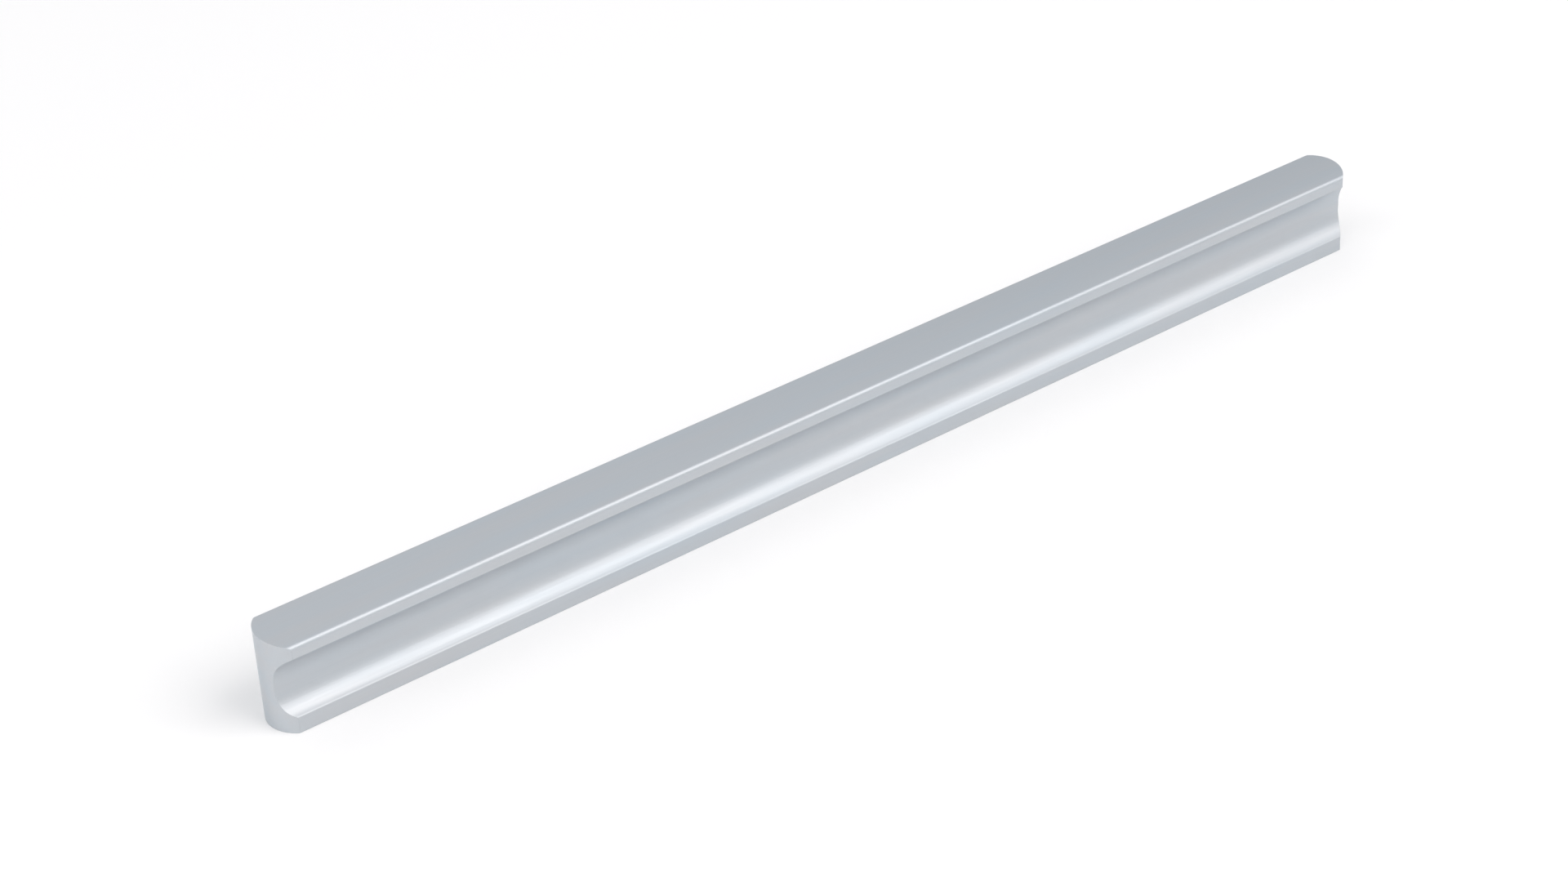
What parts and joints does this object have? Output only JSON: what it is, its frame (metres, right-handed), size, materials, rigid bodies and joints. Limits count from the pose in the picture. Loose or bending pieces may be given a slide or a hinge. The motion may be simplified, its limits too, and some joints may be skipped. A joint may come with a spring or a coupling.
{
  "type": "cabinet pull",
  "caption": "Long straight bar pull of satin aluminium with a crowned top, a scooped finger groove along its front and milled round ends, screwed to a cabinet front from behind.",
  "frame": {"origin": "middle of the flat mounting face, the face that meets the cabinet front", "axes": "+X along the bar, +Z away from the cabinet front, -Y the side that the finger groove opens to"},
  "size_m": [0.395, 0.0168, 0.0278],
  "materials": {
    "anodised_aluminium": "satin anodised"
  },
  "bodies": {
    "root": {"pull_bar": "anodised_aluminium"}
  },
  "joints": []
}
